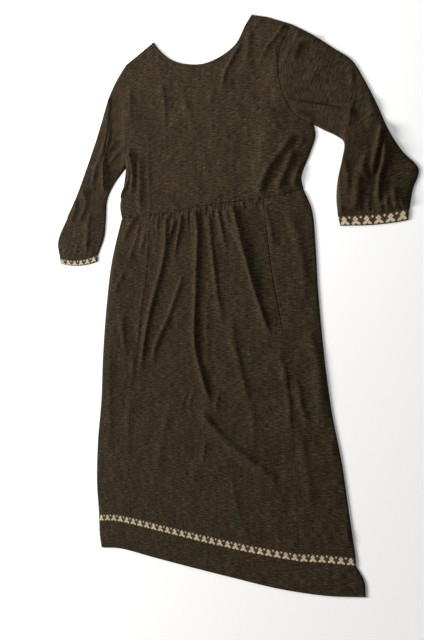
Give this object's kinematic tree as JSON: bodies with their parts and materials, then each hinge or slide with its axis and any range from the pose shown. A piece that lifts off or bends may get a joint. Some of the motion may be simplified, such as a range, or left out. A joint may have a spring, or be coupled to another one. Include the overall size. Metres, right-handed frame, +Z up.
{
  "type": "midi dress laid flat",
  "caption": "Midi dress of slub jersey laid flat, with a scoop neck, princess seams, a gathered waist seam, three-quarter sleeves with braid cuffs and a braid border above the hem.",
  "frame": {"origin": "middle of the bounding box in plan, on the table", "axes": "+Z up from the table, +Y from the hem towards the neck, +X to the right as seen from above"},
  "size_m": [0.8657, 1.1695, 0.0158],
  "materials": {
    "jersey": "matt slub jersey, dark olive brown",
    "braid": "woven braid, cream motif on dark brown"
  },
  "bodies": {
    "root": {"bodice_front_centre": "jersey", "bodice_front_left": "jersey", "bodice_front_right": "jersey", "bodice_back": "jersey", "neck_binding_front": "jersey", "neck_binding_back": "jersey", "skirt_front_centre": "jersey", "skirt_front_left": "jersey", "skirt_front_right": "jersey", "skirt_back": "jersey", "hem_trim_front": "braid", "hem_trim_back": "braid", "hem_band_front": "jersey", "hem_band_back": "jersey", "sleeve_left": "jersey", "sleeve_right": "jersey", "cuff_left": "braid", "cuff_right": "braid"}
  },
  "joints": []
}
